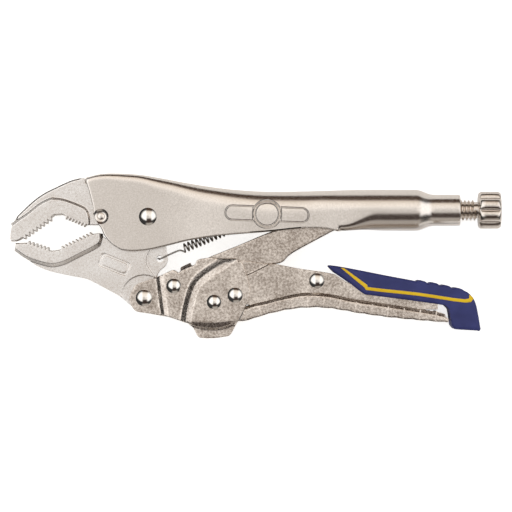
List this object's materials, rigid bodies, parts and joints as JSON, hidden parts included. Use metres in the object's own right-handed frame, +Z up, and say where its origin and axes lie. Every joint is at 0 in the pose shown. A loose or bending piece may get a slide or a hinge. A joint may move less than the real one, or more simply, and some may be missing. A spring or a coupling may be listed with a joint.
{
  "type": "locking pliers",
  "caption": "Curved-jaw locking pliers with a folded sheet handle, over-centre toggle, adjusting screw and a cushioned release lever.",
  "frame": {"origin": "centre of the whole tool's box in X and Y, on the flat surface that it lies on", "axes": "+X from the jaws to the adjusting knob, +Y from the lever across to the fixed handle, +Z up through the tool's thickness, along every rivet"},
  "size_m": [0.2547, 0.0854, 0.0284],
  "materials": {
    "plated_steel": "bright nickel plate on pressed steel sheet, satin sheen",
    "bead_blasted_steel": "nickel plate on bead-blasted steel, fine even grain",
    "polished_rivet": "mirror bright rivet heads",
    "spring_wire": "oiled spring steel wire",
    "navy_grip": "moulded thermoplastic rubber, fine matt texture",
    "yellow_inlay": "moulded inlay, smooth matt"
  },
  "bodies": {
    "handle": {"fixed_handle": "plated_steel", "fixed_jaw": "bead_blasted_steel", "jaw_retaining_pin": "plated_steel", "jaw_pivot_rivet": "polished_rivet", "spring_anchor_pin": "plated_steel", "jaw_spring": "spring_wire"},
    "jaw": {"lower_jaw": "bead_blasted_steel"},
    "lever": {"main_lever": "bead_blasted_steel", "lever_rivet": "polished_rivet", "toggle_rivet": "polished_rivet", "stop_rivet": "polished_rivet", "release_pivot_rivet": "polished_rivet"},
    "link": {"toggle_link": "bead_blasted_steel"},
    "release": {"release_lever": "bead_blasted_steel", "release_cross_rivet": "polished_rivet", "release_spring": "spring_wire", "grip_sleeve": "navy_grip", "grip_stripe_front": "yellow_inlay", "grip_stripe_back": "yellow_inlay"},
    "screw_pad": {"screw_tip": "plated_steel"},
    "screw": {"adjusting_screw": "plated_steel", "adjusting_knob": "plated_steel"}
  },
  "joints": [
    {"name": "jaw_hinge", "type": "hinge", "parent": "handle", "child": "jaw", "pos_m": [-0.0557, 0.0203, 0.0142], "axis": [0, 0, 1], "range_deg": [0, 8.5], "deforming": ["jaw_spring"]},
    {"name": "lever_hinge", "type": "hinge", "parent": "jaw", "child": "lever", "pos_m": [-0.0578, -0.0218, 0.0142], "axis": [0, 0, 1], "range_deg": [-56.5, 0]},
    {"name": "link_hinge", "type": "hinge", "parent": "lever", "child": "link", "pos_m": [-0.0423, -0.0156, 0.0142], "axis": [0, 0, 1], "range_deg": [0, 55.7]},
    {"name": "release_hinge", "type": "hinge", "parent": "lever", "child": "release", "pos_m": [-0.0105, -0.0203, 0.0142], "axis": [0, 0, 1], "range_deg": [-1.5, 0], "stiffness_Nm_per_rad": 4, "springref_deg": 2.86, "deforming": ["release_spring"]},
    {"name": "screw_slide", "type": "slide", "parent": "handle", "child": "screw_pad", "axis": [1, 0, 0], "range_m": [0, 0.015]},
    {"name": "screw_spin", "type": "hinge", "parent": "screw_pad", "child": "screw", "pos_m": [0.0583, 0.0237, 0.0142], "axis": [1, 0, 0], "range_deg": [0, 2700]}
  ],
  "couplings": [
    {"joint": "jaw_hinge", "follows": "lever_hinge", "ratio": -0.15044},
    {"joint": "link_hinge", "follows": "lever_hinge", "ratio": -0.98584},
    {"joint": "screw_spin", "follows": "screw_slide", "rad_per_m": 3141.6}
  ]
}
